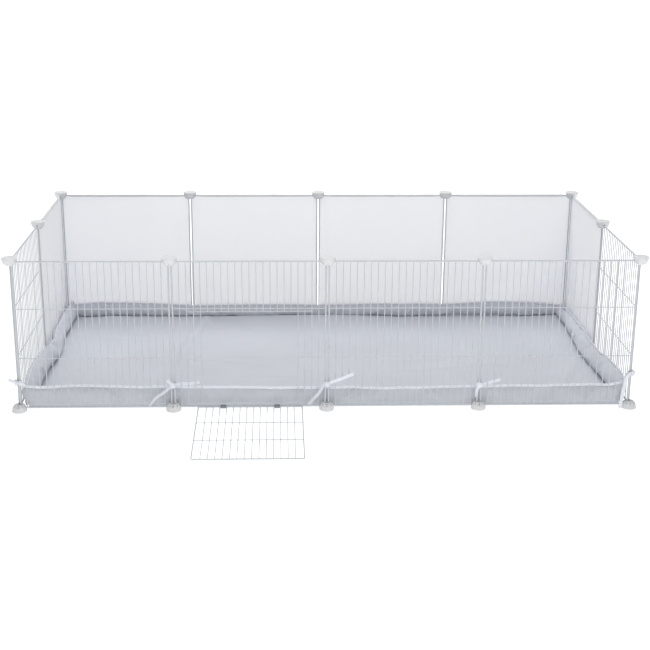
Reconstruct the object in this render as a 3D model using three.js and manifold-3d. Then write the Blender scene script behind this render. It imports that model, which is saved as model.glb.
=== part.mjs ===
// Indoor playpen for small pets: a ring of square wire panels, held together at their corners
// by slotted plastic connectors, round a fabric mat with padded side walls. Six panels are wire
// mesh, six are frames that carry a clear plastic sheet, and one mesh panel has a door that
// drops open on two clips. Millimetres, +Z up, the front is towards -Y, and the origin is on
// the floor under the middle of the pen.

import * as THREE from "three";
import { mergeVertices } from "three/addons/utils/BufferGeometryUtils.js";
import Module from "manifold-3d";

const wasm = await Module();
wasm.setup();

// ---- Driving dimensions ----

const PITCH = 350; // from one post to the next
const COLUMNS = 4; // panels along the front and the back
const HALF_X = (COLUMNS * PITCH) / 2;
const HALF_Y = PITCH; // two panels along each side
const GAP = 0.3; // between pieces that rest on each other

const RIM_WIRE = 4; // diameter of the wire round a panel
const RIM_SIZE = 342.4; // between wire centres, across and up
const RIM_CORNER = 12; // bend radius of the wire's centre line
const RIM_BASE = 10; // height of the lower wire's centre above the floor
const RIM_HALF = RIM_SIZE / 2;
const TOTAL_HEIGHT = RIM_SIZE + 2 * RIM_BASE;
const WELD_HALF = 2; // half the length of the weld that closes a rim
const WELD_RISE = 0.15;

const MESH_WIRE = 1.8; // side of a square with the section of 2 mm wire
const MESH_SPACES = 22; // between the uprights of a panel
const MESH_STEP = RIM_SIZE / MESH_SPACES;
const CROSSBARS = [117, 233]; // heights above the lower wire's centre
const UPRIGHT_OUT = 0.6; // uprights run this far outside the middle of the rim's wire
const CROSS_IN = 1.5; // and crossbars this far inside it, welded to the rim at both ends

const DOORWAY_HALF = 7 * MESH_STEP; // from the panel's middle to the doorway's sides
const LINTEL_DROP = 7; // the second lintel wire is this far below the first
const LINTEL_BEND = [132, 142]; // where it steps up again, from the panel's middle

const SHEET_THICKNESS = 1.2;
const HEM_INNER = 2.5; // the sheet's top and bottom are folded round the wire and welded
const HEM_OUTER = 3.3;
const HEM_HALF = 150; // half the length of a folded edge

const DOOR_X = -175;
const DOOR_WIRE = 3;
const DOOR_WIDTH = 237;
const DOOR_LENGTH = 275;
const DOOR_CORNER = 4;
const DOOR_UPRIGHTS = 14;
const DOOR_STEP = 15.36;
const HINGE_OUT = 5.4; // from the panel's lower wire to the door's hinge wire
const CLIP_PLACE = 4 * DOOR_STEP; // between two of the door's uprights
const CLIP_WIDTH = 12.4;
const CLIP_INNER = RIM_WIRE / 2 + GAP;
const CLIP_WALL = 0.9;

const CONNECTOR_RADIUS = 17;
const CONNECTOR_PROFILE = [
  [0, 0],
  [CONNECTOR_RADIUS, 0],
  [CONNECTOR_RADIUS, 4.5],
  [14, 12],
  [9, 18],
  [0, 18],
];
const CONNECTOR_SIDES = 16;
const SLOT_WIDTH = RIM_WIRE + 2 * GAP;
const SLOT_FLOOR = RIM_BASE - RIM_WIRE / 2 - GAP;

const MAT_INSET = 18.5; // from the line of the posts to the mat's edge
const MAT_CORNER = 12;
const MAT_FLOOR = 12;
const WALL_BASE = MAT_FLOOR + GAP;
// The padded wall's section, as distances in from the line of the posts and heights.
const WALL_SECTION = [
  [18.5, WALL_BASE],
  [28, WALL_BASE],
  [30, 22],
  [27, 38],
  [19, 50],
  [12, 55],
  [7, 52],
  [8, 36],
  [15, 18],
];

const TIE_WIDTH = 8;
const TIE_THICKNESS = 1;
const LOOP = { halfWidth: 7.5, halfDepth: 4 }; // the loop round the two wires at a post
const KNOT = { width: 15, depth: 5, height: 13 };

// ---- Materials ----

const WHITE_WIRE = { color: 0xe2e6e9, roughness: 0.35, metalness: 0.1 };
const CLEAR_SHEET = { color: 0xe9ecf5, roughness: 0.25, metalness: 0, transparent: true, opacity: 0.5 };
const WHITE_PLASTIC = { color: 0xe6e6e8, roughness: 0.45, metalness: 0 };
const GREY_FABRIC = { color: 0xbcc0c8, roughness: 0.92, metalness: 0 };
const WHITE_RIBBON = { color: 0xe8ebf2, roughness: 0.8, metalness: 0 };
const CLIP_STEEL = { color: 0x7b8285, roughness: 0.4, metalness: 0.8 };

// ---- Solids ----

// A closed geometry as a solid that can be joined and cut.
function solid(geometry) {
  const bare = geometry.clone();
  bare.deleteAttribute("normal");
  bare.deleteAttribute("uv");
  const merged = mergeVertices(bare);
  return new wasm.Manifold(
    new wasm.Mesh({
      numProp: 3,
      vertProperties: merged.attributes.position.array,
      triVerts: new Uint32Array(merged.index.array),
    }),
  );
}

function geometryOf(shape) {
  const { vertProperties, triVerts } = shape.getMesh();
  const geometry = new THREE.BufferGeometry();
  geometry.setAttribute("position", new THREE.BufferAttribute(new Float32Array(vertProperties), 3));
  geometry.setIndex(new THREE.BufferAttribute(new Uint32Array(triVerts), 1));
  geometry.computeVertexNormals();
  return geometry;
}

const joined = (geometries) => geometries.map(solid).reduce((all, next) => all.add(next));

const box = (sizeX, sizeY, sizeZ, x, y, z) =>
  new THREE.BoxGeometry(sizeX, sizeY, sizeZ).translate(x, y, z);

// A path through exactly the given points, for a sweep with one step from each to the next.
class Route extends THREE.Curve {
  constructor(points) {
    super();
    this.points = points;
  }

  at(u) {
    return Math.round(u * (this.points.length - 1));
  }

  getPointAt(u) {
    return this.points[this.at(u)].clone();
  }

  getTangentAt(u) {
    const i = this.at(u);
    const before = this.points[Math.max(i - 1, 0)];
    const here = this.points[i];
    const after = this.points[Math.min(i + 1, this.points.length - 1)];
    const arriving = here.clone().sub(before).normalize();
    return after.clone().sub(here).normalize().add(arriving).normalize();
  }
}

function circle(radius, sides) {
  const points = [];
  for (let i = 0; i < sides; i++) {
    const angle = ((i + 0.5) * 2 * Math.PI) / sides;
    points.push(new THREE.Vector2(radius * Math.cos(angle), radius * Math.sin(angle)));
  }
  return new THREE.Shape(points);
}

function sweep(section, points) {
  const extrudePath = new Route(points.map((p) => new THREE.Vector3(...p)));
  return new THREE.ExtrudeGeometry(section, { extrudePath, steps: points.length - 1 });
}

// ---- Panels: each stands in the XZ plane, its outer side towards -Y, its lower wire at z = 0 ----

// The right half of a rim, from the middle of its lower side to the middle of its upper side.
function halfRim(width, height, corner, diameter, sides) {
  const points = [[0, 0, 0]];
  const steps = 3;
  for (const [z, start] of [
    [corner, -Math.PI / 2],
    [height - corner, 0],
  ])
    for (let i = 0; i <= steps; i++) {
      const angle = start + (i / steps) * (Math.PI / 2);
      points.push([width / 2 - corner + corner * Math.cos(angle), 0, z + corner * Math.sin(angle)]);
    }
  points.push([0, 0, height]);
  return sweep(circle(diameter / 2, sides), points);
}

// A whole rim, its two halves joined by a weld slightly thicker than the wire.
function rim(width, height, corner, diameter, sides) {
  const half = halfRim(width, height, corner, diameter, sides);
  const welds = [0, height].map((z) =>
    sweep(circle(diameter / 2 + WELD_RISE, sides), [
      [-WELD_HALF, 0, z],
      [WELD_HALF, 0, z],
    ]),
  );
  return joined([half, half.clone().rotateZ(Math.PI), ...welds]);
}

const panelRim = () => rim(RIM_SIZE, RIM_SIZE, RIM_CORNER, RIM_WIRE, 6);

const upright = (x, from, to) =>
  box(MESH_WIRE, MESH_WIRE, to - from, x, -UPRIGHT_OUT, (from + to) / 2);

const crossbar = (from, to, z) =>
  box(to - from, MESH_WIRE, MESH_WIRE, (from + to) / 2, CROSS_IN, z);

function meshPanel() {
  const wires = [];
  for (let i = 1; i < MESH_SPACES; i++) wires.push(upright(i * MESH_STEP - RIM_HALF, 0, RIM_SIZE));
  for (const z of CROSSBARS) wires.push(crossbar(-RIM_HALF, RIM_HALF, z));
  return panelRim().add(joined(wires));
}

// The lintel's second wire: under the first across the doorway, and up to it at each end.
function lowerLintel(height) {
  const [inner, outer] = LINTEL_BEND;
  const low = height - LINTEL_DROP;
  const points = [
    [-outer, CROSS_IN, height],
    [-inner, CROSS_IN, low],
    [inner, CROSS_IN, low],
    [outer, CROSS_IN, height],
  ];
  return sweep(circle(MESH_WIRE / Math.SQRT2, 4), points);
}

// The same mesh with a doorway from its lower wire up to the lintel.
function doorPanel() {
  const [low, high] = CROSSBARS;
  const wires = [crossbar(-RIM_HALF, RIM_HALF, high), lowerLintel(high)];
  for (let i = 1; i < MESH_SPACES; i++) {
    const x = i * MESH_STEP - RIM_HALF;
    const overDoor = Math.abs(x) < DOORWAY_HALF - 1;
    wires.push(upright(x, overDoor ? high - LINTEL_DROP : 0, RIM_SIZE));
  }
  wires.push(crossbar(-RIM_HALF, -DOORWAY_HALF, low), crossbar(DOORWAY_HALF, RIM_HALF, low));
  return panelRim().add(joined(wires));
}

// The top or bottom of a sheet, folded into a tube round the frame's wire.
function hem(z) {
  const section = circle(HEM_OUTER, 8);
  section.holes.push(circle(HEM_INNER, 8));
  return sweep(section, [
    [-HEM_HALF, 0, z],
    [HEM_HALF, 0, z],
  ]);
}

function clearSheet() {
  const half = RIM_HALF - RIM_WIRE / 2 - GAP;
  const corner = RIM_CORNER - RIM_WIRE / 2 - GAP;
  const outline = new THREE.Shape();
  for (let quarter = 0; quarter < 4; quarter++) {
    const angle = (quarter * Math.PI) / 2;
    const [x, y] = [
      [1, 1],
      [-1, 1],
      [-1, -1],
      [1, -1],
    ][quarter].map((side) => side * (half - corner));
    outline.absarc(x, y, corner, angle, angle + Math.PI / 2, false);
  }
  const options = { depth: SHEET_THICKNESS, bevelEnabled: false, curveSegments: 3 };
  const plate = new THREE.ExtrudeGeometry(outline, options)
    .translate(0, 0, -SHEET_THICKNESS / 2)
    .rotateX(Math.PI / 2);
  return joined([plate, hem(RIM_HALF), hem(-RIM_HALF)]).translate([0, 0, RIM_HALF]);
}

// ---- Door: upright here, with its hinge wire along the X axis ----

function door() {
  const wires = [];
  for (let i = 0; i < DOOR_UPRIGHTS; i++)
    wires.push(upright((i - (DOOR_UPRIGHTS - 1) / 2) * DOOR_STEP, 0, DOOR_LENGTH));
  for (const share of [1 / 3, 2 / 3])
    wires.push(crossbar(-DOOR_WIDTH / 2, DOOR_WIDTH / 2, share * DOOR_LENGTH));
  return rim(DOOR_WIDTH, DOOR_LENGTH, DOOR_CORNER, DOOR_WIRE, 6).add(joined(wires));
}

// Open, the door lies on the floor along its far edge.
const DOOR_SLOPE = Math.asin((RIM_BASE - DOOR_WIRE / 2 - GAP / 3) / DOOR_LENGTH);

// A strip of steel closed round the panel's lower wire and the door's hinge wire.
function hingeClip() {
  const oblong = (radius, Kind) => {
    const outline = new Kind();
    outline.absarc(HINGE_OUT, 0, radius, -Math.PI / 2, Math.PI / 2, false);
    outline.absarc(0, 0, radius, Math.PI / 2, 1.5 * Math.PI, false);
    return outline;
  };
  const section = oblong(CLIP_INNER + CLIP_WALL, THREE.Shape);
  section.holes.push(oblong(CLIP_INNER, THREE.Path));
  const options = { depth: CLIP_WIDTH, bevelEnabled: false, curveSegments: 6 };
  // Drawn across X and Y, then turned so that X runs to -Y and the depth along X.
  return solid(
    new THREE.ExtrudeGeometry(section, options)
      .translate(0, 0, -CLIP_WIDTH / 2)
      .rotateX(Math.PI / 2)
      .rotateZ(-Math.PI / 2),
  );
}

// ---- Connector: a disc with a dome of eight petals and a slot for a wire between each two ----

function connector() {
  const profile = CONNECTOR_PROFILE.map(([radius, z]) => new THREE.Vector2(radius, z));
  const turned = new THREE.LatheGeometry(profile, CONNECTOR_SIDES).rotateX(Math.PI / 2);
  const height = profile.at(-1).y;
  const slot = box(3 * CONNECTOR_RADIUS, SLOT_WIDTH, height, 0, 0, SLOT_FLOOR + height / 2);
  const slots = [0, 1, 2, 3].map((turn) => slot.clone().rotateZ((turn * Math.PI) / 4));
  return solid(turned).subtract(joined(slots));
}

// ---- Mat: a padded floor and four padded walls, sewn together at their edges ----

function matFloor() {
  const x = HALF_X - MAT_INSET - MAT_CORNER;
  const y = HALF_Y - MAT_INSET - MAT_CORNER;
  const outline = new THREE.Shape();
  outline.absarc(x, y, MAT_CORNER, 0, Math.PI / 2, false);
  outline.absarc(-x, y, MAT_CORNER, Math.PI / 2, Math.PI, false);
  outline.absarc(-x, -y, MAT_CORNER, Math.PI, 1.5 * Math.PI, false);
  outline.absarc(x, -y, MAT_CORNER, 1.5 * Math.PI, 2 * Math.PI, false);
  const options = { depth: MAT_FLOOR, bevelEnabled: false, curveSegments: 4 };
  return solid(new THREE.ExtrudeGeometry(outline, options));
}

// A wall that stands along X between two posts' lines, inwards along +Y, mitred at its ends.
function matWall(halfLength) {
  const section = new THREE.Shape(WALL_SECTION.map(([inwards, z]) => new THREE.Vector2(-inwards, z)));
  const length = 2 * halfLength;
  const wall = new THREE.ExtrudeGeometry(section, { depth: length, bevelEnabled: false })
    .translate(0, 0, -halfLength)
    .rotateX(Math.PI / 2)
    .rotateZ(-Math.PI / 2);
  const far = 200;
  const cutter = (side) =>
    box(far, far, far, far / 2 - GAP / 2, 0, 0)
      .rotateZ(Math.PI / 2 - (side * Math.PI) / 4)
      .translate(side * halfLength, 0, 0);
  return solid(wall).subtract(solid(cutter(1))).subtract(solid(cutter(-1)));
}

// ---- Tie: a ribbon looped round the wires at a post, and knotted on the outside ----

// A flat ribbon through the given points. It crosses its route at right angles to Y.
function ribbon(points) {
  const route = points.map((point) => new THREE.Vector3(...point));
  const last = route.length - 1;
  const corners = route.flatMap((point, i) => {
    const along = route[Math.min(i + 1, last)].clone().sub(route[Math.max(i - 1, 0)]);
    const across = along.clone().cross(new THREE.Vector3(0, 1, 0)).setLength(TIE_WIDTH / 2);
    const face = across.clone().cross(along).setLength(TIE_THICKNESS / 2);
    return [
      point.clone().add(across).add(face),
      point.clone().sub(across).add(face),
      point.clone().sub(across).sub(face),
      point.clone().add(across).sub(face),
    ];
  });
  const quads = [
    [0, 1, 2, 3],
    [3, 2, 1, 0].map((k) => 4 * last + k),
  ];
  for (let i = 0; i < last; i++)
    for (let k = 0; k < 4; k++) {
      const next = (k + 1) % 4;
      quads.push([4 * i + k, 4 * (i + 1) + k, 4 * (i + 1) + next, 4 * i + next]);
    }
  return new THREE.BufferGeometry()
    .setFromPoints(corners)
    .setIndex(quads.flatMap(([a, b, c, d]) => [a, b, c, a, c, d]));
}

// The loop and knot turn with the post; the ends are given along the pen's own axes.
function tie(height, turn, inset, ends) {
  const { halfWidth, halfDepth } = LOOP;
  const around = 2 * (halfWidth + TIE_THICKNESS);
  const across = 2 * (halfDepth + TIE_THICKNESS);
  const outer = box(around, across, TIE_WIDTH, 0, inset, height);
  const inner = box(2 * halfWidth, 2 * halfDepth, 2 * TIE_WIDTH, 0, inset, height);
  const knotY = inset - halfDepth - KNOT.depth / 2;
  const knot = box(KNOT.width, KNOT.depth, KNOT.height, 0, knotY, height);
  const turned = solid(outer)
    .subtract(solid(inner))
    .add(solid(knot))
    .rotate([0, 0, THREE.MathUtils.radToDeg(turn)]);
  const middle = [-knotY * Math.sin(turn), knotY * Math.cos(turn), height];
  return turned.add(joined(ends.map(([start, ...rest]) => ribbon([start ?? middle, ...rest]))));
}

// ---- Assembly ----

const playpen = new THREE.Group();

function place(name, shape, finish, x, y, z, turn = 0, tilt = 0) {
  const mesh = new THREE.Mesh(geometryOf(shape), new THREE.MeshStandardMaterial(finish));
  mesh.name = name;
  mesh.rotation.set(tilt, 0, turn, "ZXY");
  mesh.position.set(x, y, z);
  playpen.add(mesh);
}

const SIDES = {
  front: { turn: 0, at: (along) => [along, -HALF_Y] },
  right: { turn: Math.PI / 2, at: (along) => [HALF_X, along] },
  back: { turn: Math.PI, at: (along) => [along, HALF_Y] },
  left: { turn: -Math.PI / 2, at: (along) => [-HALF_X, along] },
};

const inBay = (bay) => -HALF_X + (bay + 0.5) * PITCH;
const mesh = meshPanel();
const frame = panelRim();
const sheet = clearSheet();

function placePanel(name, side, along, clear) {
  const { turn, at } = SIDES[side];
  place(`panel_${name}`, clear ? frame : mesh, WHITE_WIRE, ...at(along), RIM_BASE, turn);
  if (clear) place(`sheet_${name}`, sheet, CLEAR_SHEET, ...at(along), RIM_BASE, turn);
}

for (let bay = 0; bay < COLUMNS; bay++) {
  if (bay !== 1) placePanel(`front_${bay + 1}`, "front", inBay(bay), false);
  placePanel(`back_${bay + 1}`, "back", inBay(bay), true);
}
for (const side of ["left", "right"]) {
  placePanel(`${side}_front`, side, -PITCH / 2, false);
  placePanel(`${side}_back`, side, PITCH / 2, true);
}

place("panel_front_2", doorPanel(), WHITE_WIRE, DOOR_X, -HALF_Y, RIM_BASE);
place("door", door(), WHITE_WIRE, DOOR_X, -HALF_Y - HINGE_OUT, RIM_BASE, 0, Math.PI / 2 + DOOR_SLOPE);
const clip = hingeClip();
place("hinge_clip_left", clip, CLIP_STEEL, DOOR_X - CLIP_PLACE, -HALF_Y, RIM_BASE);
place("hinge_clip_right", clip, CLIP_STEEL, DOOR_X + CLIP_PLACE, -HALF_Y, RIM_BASE);

const posts = [-1, 1].flatMap((row) =>
  [0, 1, 2, 3, 4].map((column) => [column * PITCH - HALF_X, row * HALF_Y]),
);
posts.push([-HALF_X, 0], [HALF_X, 0]);
const joint = connector();
posts.forEach(([x, y], i) => {
  place(`connector_low_${i + 1}`, joint, WHITE_PLASTIC, x, y, 0);
  place(`connector_top_${i + 1}`, joint, WHITE_PLASTIC, x, y, TOTAL_HEIGHT, 0, Math.PI);
});

place("mat_floor", matFloor(), GREY_FABRIC, 0, 0, 0);
for (const [side, { turn, at }] of Object.entries(SIDES)) {
  const halfLength = at(0)[0] === 0 ? HALF_X : HALF_Y;
  place(`mat_wall_${side}`, matWall(halfLength), GREY_FABRIC, ...at(0), 0, turn);
}

// Each tie's ends, as points from the post and heights above the floor. An end that starts
// with null starts in the knot; the others are sewn to the mat.
const CORNER_INSET = 2.7; // at a corner the loop goes round both wires on the diagonal
const TIES = {
  corner_left: {
    post: [-HALF_X, -HALF_Y],
    turn: -Math.PI / 4,
    height: 71,
    ends: [
      [null, [-10, -5, 75], [-19, -6, 80]],
      [null, [6, -5, 69], [12.5, -0.5, 65], [16, 7, 58]],
    ],
  },
  front_1: {
    post: [-PITCH, -HALF_Y],
    turn: 0,
    height: 64,
    ends: [
      [null, [6, -3.9, 64], [12.5, -0.6, 64], [18.5, 2.4, 64], [36, 3, 64], [60, 3.5, 67.5]],
      [null, [-19, -7, 48], [-34, -7, 37.5], [-46, -7, 26.5], [-55, -7, 14]],
      [[0, 4.5, 63], [0, 8.5, 56.5]],
    ],
  },
  front_2: {
    post: [0, -HALF_Y],
    turn: 0,
    height: 65,
    ends: [
      [null, [33, -7, 78], [60, -7, 89.5]],
      [null, [-9, -7, 60], [-17, -7, 45], [-26, -7, 34.5], [-43, -7, 15]],
      [[0, 4.5, 63], [0, 8.5, 56.5]],
    ],
  },
  front_3: {
    post: [PITCH, -HALF_Y],
    turn: 0,
    height: 61,
    ends: [
      [null, [6, -3.9, 60], [12.5, -0.6, 60.5], [18.5, 2.4, 61.5], [34, 3, 65.5], [49, 3.5, 70]],
      [null, [-6, -7, 48], [-7.5, -7, 31]],
      [[0, 4.5, 61], [0, 8.5, 56.5]],
    ],
  },
  corner_right: {
    post: [HALF_X, -HALF_Y],
    turn: Math.PI / 4,
    height: 86,
    ends: [
      [null, [-7, -7.5, 83], [-14, -8, 72], [-15.5, -7.5, 56], [-18, -7.5, 42], [-21.5, -6.5, 2]],
      [[-5.4, 5.4, 84], [-10, 10, 70], [-13.5, 13.5, 57.5]],
    ],
  },
};
for (const [name, { post, turn, height, ends }] of Object.entries(TIES)) {
  const inset = turn ? CORNER_INSET : 0;
  place(`tie_${name}`, tie(height, turn, inset, ends), WHITE_RIBBON, ...post, 0);
}

export default playpen;
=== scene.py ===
"""The pet playpen's looks: wire panels, frosted sheets, slotted connectors, a padded mat and its
ribbon ties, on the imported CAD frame. Everything is in metres, in the frame of the CAD model: +X
to the right, -Y to the front, +Z up, the origin on the floor under the middle of the pen."""

import math

import bmesh
import bpy
import numpy as np
from mathutils import Matrix, Vector, noise


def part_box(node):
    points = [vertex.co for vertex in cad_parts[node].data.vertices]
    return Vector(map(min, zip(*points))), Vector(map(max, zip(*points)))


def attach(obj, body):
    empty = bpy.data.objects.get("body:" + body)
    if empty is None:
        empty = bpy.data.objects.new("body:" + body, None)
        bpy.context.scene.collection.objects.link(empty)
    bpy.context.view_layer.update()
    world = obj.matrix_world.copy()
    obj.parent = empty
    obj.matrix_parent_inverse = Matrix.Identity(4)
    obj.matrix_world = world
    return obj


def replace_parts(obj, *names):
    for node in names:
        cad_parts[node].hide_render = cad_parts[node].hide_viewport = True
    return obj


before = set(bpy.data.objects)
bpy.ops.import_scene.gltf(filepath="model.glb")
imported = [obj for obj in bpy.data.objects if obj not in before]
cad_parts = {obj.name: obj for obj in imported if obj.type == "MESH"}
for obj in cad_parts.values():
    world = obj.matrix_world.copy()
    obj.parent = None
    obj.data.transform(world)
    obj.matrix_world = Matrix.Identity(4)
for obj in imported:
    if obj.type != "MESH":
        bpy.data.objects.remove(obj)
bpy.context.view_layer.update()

# ---- Sizes, as in the CAD model ----

MM = 0.001
PITCH = 0.350
HALF_X = 0.700
HALF_Y = 0.350
RIM_SIZE = 0.3424  # between the centres of a panel's rim wires
RIM_HALF = RIM_SIZE / 2
RIM_BASE = 0.010  # the lower rim wire's centre above the floor
RIM_RADIUS = 0.002
RIM_CORNER = 0.012
MESH_RADIUS = 0.001
MESH_SPACES = 22
MESH_STEP = RIM_SIZE / MESH_SPACES
CROSSBARS = (0.117, 0.233)
UPRIGHT_OUT = 0.0006  # uprights run this far outside the middle of the rim's wire
CROSS_IN = 0.0013  # crossbars this far inside it, pressed a little into the uprights
DOORWAY_HALF = 7 * MESH_STEP
LINTEL_DROP = 0.007
LINTEL_BEND = (0.132, 0.142)
DOOR_X = -0.175
DOOR_WIDTH = 0.237
DOOR_LENGTH = 0.275
DOOR_RADIUS = 0.0015
DOOR_CORNER = 0.004
DOOR_UPRIGHTS = 14
DOOR_STEP = 0.01536
HINGE_OUT = 0.0054
DOOR_SLOPE = math.asin((RIM_BASE - DOOR_RADIUS - 0.0001) / DOOR_LENGTH)
TOTAL_HEIGHT = RIM_SIZE + 2 * RIM_BASE
MAT_INSET = 0.0185  # from the line of the posts to the mat's edge
TIE_WIDTH = 0.008
TIE_THICKNESS = 0.0009
HALF_LENGTH = {"front": HALF_X, "right": HALF_Y, "back": HALF_X, "left": HALF_Y}

# ---- Camera ----

CAMERA_AT = (-0.1092, -3.0639, 1.0739)
CAMERA_TURN = 2.19  # degrees to the right of straight on
CAMERA_DOWN = 17.76
CAMERA_ROLL = 0.44
CAMERA_LENS = 70.22


def add_camera():
    turn, down, roll = (math.radians(a) for a in (CAMERA_TURN, CAMERA_DOWN, CAMERA_ROLL))
    data = bpy.data.cameras.new("camera")
    data.lens = CAMERA_LENS
    data.sensor_width = 36
    data.clip_end = 200
    camera = bpy.data.objects.new("camera", data)
    forward = Vector((math.sin(turn) * math.cos(down), math.cos(turn) * math.cos(down), -math.sin(down)))
    right = forward.cross(Vector((0, 0, 1))).normalized()
    up = right.cross(forward)
    tilted_right = math.cos(roll) * right + math.sin(roll) * up
    tilted_up = -math.sin(roll) * right + math.cos(roll) * up
    matrix = Matrix((tilted_right, tilted_up, -forward)).transposed().to_4x4()
    matrix.translation = CAMERA_AT
    camera.matrix_world = matrix
    bpy.context.scene.collection.objects.link(camera)
    bpy.context.scene.camera = camera


# ---- Materials ----


def new_material(name, roughness, **sockets):
    """A Principled material; sockets are its uniform values, by name with _ for a space."""
    material = bpy.data.materials.new(name)
    material.use_nodes = True
    shader = material.node_tree.nodes["Principled BSDF"]
    shader.inputs["Roughness"].default_value = roughness
    for socket, value in sockets.items():
        shader.inputs[socket.replace("_", " ")].default_value = value
    return material


def node(material, kind, **inputs):
    made = material.node_tree.nodes.new(kind)
    for socket, value in inputs.items():
        made.inputs[socket.replace("_", " ")].default_value = value
    return made


def link(material, source, target):
    material.node_tree.links.new(source, target)


def texture_space(material):
    return node(material, "ShaderNodeTexCoord").outputs["Object"]


def add_colour_noise(material, low, high, scale, detail=4.0):
    """Base colour that drifts between two tones over patches of 1 / scale metres."""
    cloud = node(material, "ShaderNodeTexNoise", Scale=scale, Detail=detail, Roughness=0.55)
    ramp = node(material, "ShaderNodeValToRGB")
    ramp.color_ramp.elements[0].position = 0.3
    ramp.color_ramp.elements[0].color = (*low, 1)
    ramp.color_ramp.elements[1].position = 0.7
    ramp.color_ramp.elements[1].color = (*high, 1)
    link(material, texture_space(material), cloud.inputs["Vector"])
    link(material, cloud.outputs["Fac"], ramp.inputs["Fac"])
    shader = material.node_tree.nodes["Principled BSDF"]
    link(material, ramp.outputs["Color"], shader.inputs["Base Color"])
    return cloud


def add_roughness_noise(material, low, high, scale):
    cloud = node(material, "ShaderNodeTexNoise", Scale=scale, Detail=3.0)
    spread = node(material, "ShaderNodeMapRange", To_Min=low, To_Max=high)
    link(material, texture_space(material), cloud.inputs["Vector"])
    link(material, cloud.outputs["Fac"], spread.inputs["Value"])
    shader = material.node_tree.nodes["Principled BSDF"]
    link(material, spread.outputs["Result"], shader.inputs["Roughness"])


def add_bump(material, height, distance, strength=1.0):
    """Adds a height output to the material's bump, on top of any it has."""
    shader = material.node_tree.nodes["Principled BSDF"]
    bump = node(material, "ShaderNodeBump", Distance=distance, Strength=strength)
    below = shader.inputs["Normal"].links
    if below:
        link(material, below[0].from_socket, bump.inputs["Normal"])
    link(material, height, bump.inputs["Height"])
    link(material, bump.outputs["Normal"], shader.inputs["Normal"])


def add_noise_bump(material, scale, distance, strength=1.0):
    cloud = node(material, "ShaderNodeTexNoise", Scale=scale, Detail=3.0)
    link(material, texture_space(material), cloud.inputs["Vector"])
    add_bump(material, cloud.outputs["Fac"], distance, strength)


def add_weave(material, threads_per_m, distance):
    """Over-and-under threads along the three axes, whichever way the cloth faces."""
    waves = []
    for axis in "XYZ":
        wave = node(material, "ShaderNodeTexWave", Scale=threads_per_m / math.tau, Distortion=0.6)
        wave.bands_direction = axis
        link(material, texture_space(material), wave.inputs["Vector"])
        waves.append(wave.outputs["Fac"])
    total = waves[0]
    for wave in waves[1:]:
        add = node(material, "ShaderNodeMath")
        link(material, total, add.inputs[0])
        link(material, wave, add.inputs[1])
        total = add.outputs[0]
    add_bump(material, total, distance, 0.7)


def powder_coat():
    material = new_material("powder_coat", 0.45, Specular_IOR_Level=0.3)
    add_colour_noise(material, (0.53, 0.56, 0.59), (0.59, 0.62, 0.65), 60)
    add_roughness_noise(material, 0.38, 0.52, 400)
    add_noise_bump(material, 900, 0.00006)
    return material


def frosted_plastic():
    material = new_material("frosted_plastic", 0.42, IOR=1.46, Subsurface_Weight=1.0, Subsurface_Scale=0.003)
    material.node_tree.nodes["Principled BSDF"].inputs["Subsurface Radius"].default_value = (1, 1, 1)
    add_colour_noise(material, (0.86, 0.88, 0.99), (0.89, 0.905, 0.99), 5, 1.0)
    add_noise_bump(material, 700, 0.00005)
    return material


def moulded_plastic():
    material = new_material(
        "moulded_plastic", 0.42, Specular_IOR_Level=0.45, Subsurface_Weight=0.5, Subsurface_Scale=0.004
    )
    material.node_tree.nodes["Principled BSDF"].inputs["Subsurface Radius"].default_value = (1, 1, 1)
    add_colour_noise(material, (0.67, 0.675, 0.69), (0.72, 0.725, 0.73), 45)
    add_roughness_noise(material, 0.38, 0.52, 300)
    add_noise_bump(material, 1200, 0.00004)
    return material


def padded_fabric():
    material = new_material("padded_fabric", 0.92, Sheen_Weight=0.25, Sheen_Roughness=0.5)
    add_colour_noise(material, (0.52, 0.54, 0.58), (0.56, 0.58, 0.62), 4.5, 3.0)
    add_weave(material, 1400, 0.00012)
    add_noise_bump(material, 70, 0.0006, 0.5)
    return material


def woven_tape(name, low, high):
    material = new_material(name, 0.8, Sheen_Weight=0.2, Sheen_Roughness=0.4)
    add_colour_noise(material, low, high, 120)
    add_weave(material, 2200, 0.0001)
    return material


def clip_steel():
    material = new_material("clip_steel", 0.4, Metallic=0.9)
    add_colour_noise(material, (0.16, 0.18, 0.19), (0.26, 0.28, 0.29), 150)
    add_roughness_noise(material, 0.3, 0.55, 500)
    add_noise_bump(material, 700, 0.00008)
    return material


# ---- Meshes ----


def add_object(name, data, material, matrix=None):
    if not data.materials:
        data.materials.append(material)
    made = bpy.data.objects.new(name, data)
    if matrix is not None:
        made.matrix_world = matrix
    bpy.context.scene.collection.objects.link(made)
    return made


def smooth(mesh, angle=None):
    mesh.polygons.foreach_set("use_smooth", [True] * len(mesh.polygons))
    if angle:
        mesh.set_sharp_from_angle(angle=math.radians(angle))
    return mesh


def mesh_of(name, points, faces, angle=None):
    mesh = bpy.data.meshes.new(name)
    mesh.from_pydata([tuple(p) for p in points], [], faces)
    built = bmesh.new()
    built.from_mesh(mesh)
    bmesh.ops.recalc_face_normals(built, faces=built.faces)
    built.to_mesh(mesh)
    built.free()
    return smooth(mesh, angle)


def tube_faces(rings, sides, closed=False, first=0):
    """Quads between rings of the same number of points, and caps unless the rings close."""
    faces = []
    for i in range(rings if closed else rings - 1):
        j = (i + 1) % rings
        for k in range(sides):
            m = (k + 1) % sides
            quad = (i * sides + k, i * sides + m, j * sides + m, j * sides + k)
            faces.append([first + n for n in quad])
    if not closed:
        faces.append([first + k for k in range(sides)][::-1])
        faces.append([first + (rings - 1) * sides + k for k in range(sides)])
    return faces


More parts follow.
